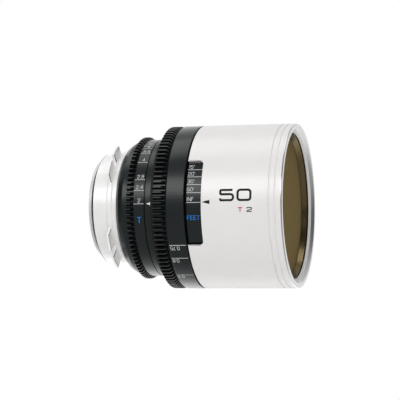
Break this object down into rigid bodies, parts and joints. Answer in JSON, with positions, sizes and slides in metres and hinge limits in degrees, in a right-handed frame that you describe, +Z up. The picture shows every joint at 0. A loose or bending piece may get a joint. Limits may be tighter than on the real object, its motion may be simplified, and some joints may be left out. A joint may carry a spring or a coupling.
{
  "type": "cinema prime lens",
  "caption": "Cinema prime lens with a silver front barrel, black geared focus and iris rings, a distance scale window, a working bladed iris and a lugged camera mount.",
  "frame": {"origin": "on the optical axis, in the plane of the lugs' rear faces, which seat on the camera", "axes": "+X along the optical axis to the front of the lens, +Z up, the index marks and the scale window face -Y"},
  "size_m": [0.0999, 0.08, 0.08],
  "materials": {
    "silver_barrel": "fine bead blasted and clear anodised",
    "black_ring": "satin black anodised",
    "gear_teeth": "satin black anodised, cut teeth",
    "inner_black": "matt black anodised",
    "blade_black": "thin blackened spring steel",
    "mount_steel": "turned and satin polished",
    "screw_steel": "bright steel",
    "brass": "turned brass",
    "front_glass": "amber anti reflection coating",
    "inner_glass": "polished and coated",
    "rear_ring_grey": "grey anodised"
  },
  "bodies": {
    "body": {"lens_mount": "mount_steel", "mount_shim": "brass", "mount_screws": "screw_steel", "rear_housing": "black_ring", "housing_screws": "screw_steel", "main_barrel": "black_ring", "focus_retainer": "inner_black", "focus_stop_pin": "screw_steel", "front_barrel": "silver_barrel", "barrel_screws": "screw_steel", "front_rim": "silver_barrel", "front_cell": "inner_black", "front_glass": "front_glass", "front_retaining_ring": "inner_black", "second_glass": "inner_glass", "second_retaining_ring": "inner_black", "iris_base": "inner_black", "iris_cover": "inner_black", "rear_cell": "inner_black", "rear_glass_front": "inner_glass", "rear_spacer": "inner_black", "rear_glass_rear": "inner_glass", "rear_retaining_ring": "rear_ring_grey"},
    "focus_ring": {"focus_ring": "black_ring", "focus_gear": "gear_teeth"},
    "focus_cell": {"focus_cell": "inner_black", "focus_glass_rear": "inner_glass", "focus_spacer": "inner_black", "focus_glass_front": "inner_glass", "focus_cell_ring": "inner_black", "guide_rollers": "brass", "cam_rollers": "brass", "roller_pins": "screw_steel"},
    "iris_ring": {"iris_ring": "black_ring", "iris_gear": "gear_teeth", "iris_drive_pin": "screw_steel", "iris_cam_ring": "inner_black"},
    "blade_1": {"iris_blade_1": "blade_black"},
    "blade_2": {"iris_blade_2": "blade_black"},
    "blade_3": {"iris_blade_3": "blade_black"},
    "blade_4": {"iris_blade_4": "blade_black"},
    "blade_5": {"iris_blade_5": "blade_black"},
    "blade_6": {"iris_blade_6": "blade_black"},
    "blade_7": {"iris_blade_7": "blade_black"},
    "blade_8": {"iris_blade_8": "blade_black"},
    "blade_9": {"iris_blade_9": "blade_black"}
  },
  "joints": [
    {"name": "focus_turn", "type": "hinge", "parent": "body", "child": "focus_ring", "pos_m": [0.035, 0, 0], "axis": [1, 0, 0], "range_deg": [0, 150]},
    {"name": "focus_slide", "type": "slide", "parent": "body", "child": "focus_cell", "axis": [1, 0, 0], "range_m": [0, 0.005]},
    {"name": "iris_turn", "type": "hinge", "parent": "body", "child": "iris_ring", "pos_m": [0.016, 0, 0], "axis": [1, 0, 0], "range_deg": [0, 62]},
    {"name": "blade_1_turn", "type": "hinge", "parent": "body", "child": "blade_1", "pos_m": [0.0147, 0.0205, 0], "axis": [1, 0, 0], "range_deg": [0, 35]},
    {"name": "blade_2_turn", "type": "hinge", "parent": "body", "child": "blade_2", "pos_m": [0.0147, 0.0157, 0.01318], "axis": [1, 0, 0], "range_deg": [0, 35]},
    {"name": "blade_3_turn", "type": "hinge", "parent": "body", "child": "blade_3", "pos_m": [0.0147, 0.00356, 0.02019], "axis": [1, 0, 0], "range_deg": [0, 35]},
    {"name": "blade_4_turn", "type": "hinge", "parent": "body", "child": "blade_4", "pos_m": [0.0147, -0.01025, 0.01775], "axis": [1, 0, 0], "range_deg": [0, 35]},
    {"name": "blade_5_turn", "type": "hinge", "parent": "body", "child": "blade_5", "pos_m": [0.0147, -0.01926, 0.00701], "axis": [1, 0, 0], "range_deg": [0, 35]},
    {"name": "blade_6_turn", "type": "hinge", "parent": "body", "child": "blade_6", "pos_m": [0.0147, -0.01926, -0.00701], "axis": [1, 0, 0], "range_deg": [0, 35]},
    {"name": "blade_7_turn", "type": "hinge", "parent": "body", "child": "blade_7", "pos_m": [0.0147, -0.01025, -0.01775], "axis": [1, 0, 0], "range_deg": [0, 35]},
    {"name": "blade_8_turn", "type": "hinge", "parent": "body", "child": "blade_8", "pos_m": [0.0147, 0.00356, -0.02019], "axis": [1, 0, 0], "range_deg": [0, 35]},
    {"name": "blade_9_turn", "type": "hinge", "parent": "body", "child": "blade_9", "pos_m": [0.0147, 0.0157, -0.01318], "axis": [1, 0, 0], "range_deg": [0, 35]}
  ],
  "couplings": [
    {"joint": "focus_slide", "follows": "focus_turn", "m_per_rad": 0.0019098},
    {"joint": "blade_1_turn", "follows": "iris_turn", "ratio": 0.5645},
    {"joint": "blade_2_turn", "follows": "iris_turn", "ratio": 0.5645},
    {"joint": "blade_3_turn", "follows": "iris_turn", "ratio": 0.5645},
    {"joint": "blade_4_turn", "follows": "iris_turn", "ratio": 0.5645},
    {"joint": "blade_5_turn", "follows": "iris_turn", "ratio": 0.5645},
    {"joint": "blade_6_turn", "follows": "iris_turn", "ratio": 0.5645},
    {"joint": "blade_7_turn", "follows": "iris_turn", "ratio": 0.5645},
    {"joint": "blade_8_turn", "follows": "iris_turn", "ratio": 0.5645},
    {"joint": "blade_9_turn", "follows": "iris_turn", "ratio": 0.5645}
  ]
}
